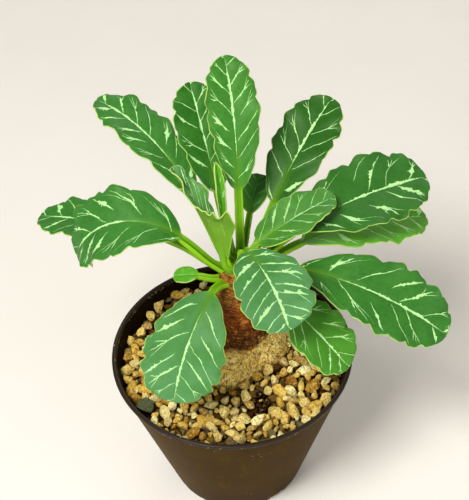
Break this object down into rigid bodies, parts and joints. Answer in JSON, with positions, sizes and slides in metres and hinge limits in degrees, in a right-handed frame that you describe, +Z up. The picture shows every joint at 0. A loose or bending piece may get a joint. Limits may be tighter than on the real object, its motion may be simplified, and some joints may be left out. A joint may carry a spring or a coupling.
{
  "type": "potted caudex euphorbia",
  "caption": "Potted caudex-forming succulent: a swollen corky stem under a rosette of wavy-edged, pale-veined leaves, set in grit and soil in a round tapered plastic pot.",
  "frame": {"origin": "middle of the flat pad under the pot, on the ground and on the pot's axis", "axes": "+Z up along the pot's axis, -Y towards the side the plant is viewed from, +X to that viewer's right"},
  "size_m": [0.1447, 0.1017, 0.1665],
  "materials": {
    "pot": "satin",
    "soil": "matte",
    "grit": "matte",
    "bark": "matte",
    "grown_leaf": "satin",
    "young_leaf": "satin"
  },
  "bodies": {
    "root": {"pot": "pot", "soil": "soil", "grit": "grit", "caudex": "bark", "leaf_01": "grown_leaf", "leaf_02": "grown_leaf", "leaf_03": "grown_leaf", "leaf_04": "grown_leaf", "leaf_05": "grown_leaf", "leaf_06": "young_leaf", "leaf_07": "young_leaf", "leaf_08": "grown_leaf", "leaf_09": "grown_leaf", "leaf_10": "grown_leaf", "leaf_11": "young_leaf", "leaf_12": "grown_leaf", "leaf_13": "grown_leaf", "leaf_14": "grown_leaf", "leaf_15": "grown_leaf", "leaf_16": "grown_leaf", "leaf_17": "young_leaf"}
  },
  "joints": []
}
